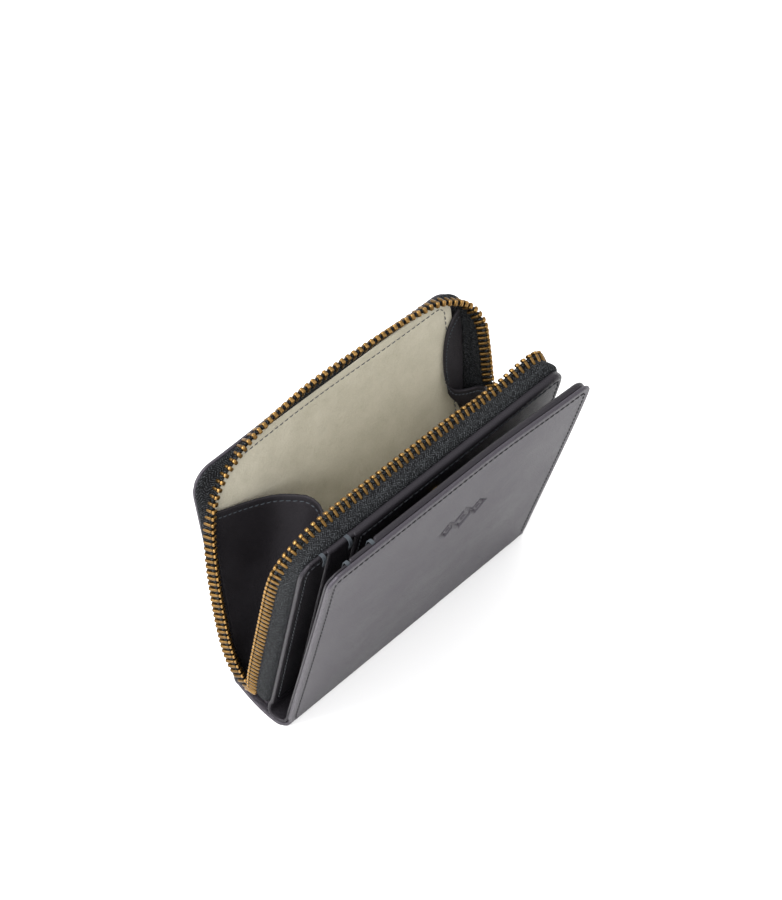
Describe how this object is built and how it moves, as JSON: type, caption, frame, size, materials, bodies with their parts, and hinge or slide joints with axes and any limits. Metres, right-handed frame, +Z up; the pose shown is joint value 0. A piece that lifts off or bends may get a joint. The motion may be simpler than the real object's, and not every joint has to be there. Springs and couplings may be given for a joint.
{
  "type": "zip around wallet",
  "caption": "Compact leather wallet standing open on its spine: folding front cover with card slots and a zip around compartment with gussets, brass zip and slider.",
  "frame": {"origin": "middle of the bounding box at its bottom, on the surface the spine stands on", "axes": "+X along the width, +Y from the front cover to the back panel, +Z up"},
  "size_m": [0.1156, 0.059, 0.0959],
  "materials": {
    "leather": "fine grain, satin, near black charcoal",
    "card": "fine grain, satin",
    "gusset": "matt lining leather",
    "lining": "cream suede",
    "tape": "herringbone woven tape",
    "brass": "antique, polished on the crowns",
    "thread": "waxed thread",
    "foil": "gold foil"
  },
  "bodies": {
    "wallet": {"spine_leather": "leather", "gutter_lining": "card", "compartment_floor": "lining", "panel_card_front": "card", "panel_card_second": "card", "panel_card_base": "leather", "panel_lining": "lining", "panel_tape": "tape", "panel_teeth": "brass", "panel_top_stop": "brass", "panel_bartack_1": "thread", "panel_bartack_2": "thread", "foil_stamp": "foil"},
    "front_cover": {"cover_leather": "leather", "cover_card_base": "leather", "cover_card_second": "card", "cover_card_front": "card", "cover_bartack_1": "thread", "cover_bartack_2": "thread"},
    "back_panel": {"back_leather": "leather", "back_lining": "lining", "back_tape": "tape", "back_teeth": "brass", "back_top_stop": "brass"},
    "gusset_left_rear": {"gusset_left_rear": "gusset"},
    "gusset_left_front": {"gusset_left_front": "gusset"},
    "gusset_right_rear": {"gusset_right_rear": "gusset"},
    "gusset_right_front": {"gusset_right_front": "gusset"},
    "slider": {"slider_body": "brass", "slider_bridge": "brass"},
    "puller": {"puller_tab": "brass"}
  },
  "joints": [
    {"name": "cover_hinge", "type": "hinge", "parent": "wallet", "child": "front_cover", "pos_m": [-0.0021, -0.00666, 0.0018], "axis": [1, 0, 0], "range_deg": [-2, 75]},
    {"name": "back_hinge", "type": "hinge", "parent": "wallet", "child": "back_panel", "pos_m": [-0.0021, 0.01474, 0.0018], "axis": [1, 0, 0], "range_deg": [0, 18.5]},
    {"name": "gusset_left_rear_fold", "type": "hinge", "parent": "back_panel", "child": "gusset_left_rear", "pos_m": [-0.0519, 0.01522, 0.01082], "axis": [0, 0.1409, 0.99], "range_deg": [0, 20.35]},
    {"name": "gusset_left_front_fold", "type": "hinge", "parent": "wallet", "child": "gusset_left_front", "pos_m": [-0.0519, -0.00057, 0.01101], "axis": [0, -0.1942, 0.981], "range_deg": [-33.3, 0]},
    {"name": "gusset_right_rear_fold", "type": "hinge", "parent": "back_panel", "child": "gusset_right_rear", "pos_m": [0.0477, 0.01522, 0.01082], "axis": [0, 0.1409, 0.99], "range_deg": [-36.45, 0]},
    {"name": "gusset_right_front_fold", "type": "hinge", "parent": "wallet", "child": "gusset_right_front", "pos_m": [0.0477, -0.00057, 0.01101], "axis": [0, -0.1942, 0.981], "range_deg": [0, 59.2]},
    {"name": "zip_slide", "type": "slide", "parent": "wallet", "child": "slider", "axis": [0, -0.1578, 0.9875], "range_m": [-0.008, 0.032]},
    {"name": "puller_hinge", "type": "hinge", "parent": "slider", "child": "puller", "pos_m": [0.0558, -0.00128, 0.03908], "axis": [0, -0.9875, -0.1578], "range_deg": [0, 150]}
  ],
  "couplings": [
    {"joint": "gusset_left_rear_fold", "follows": "back_hinge", "ratio": 1.1},
    {"joint": "gusset_left_front_fold", "follows": "back_hinge", "ratio": -1.8},
    {"joint": "gusset_right_rear_fold", "follows": "back_hinge", "ratio": -1.97},
    {"joint": "gusset_right_front_fold", "follows": "back_hinge", "ratio": 3.2}
  ]
}
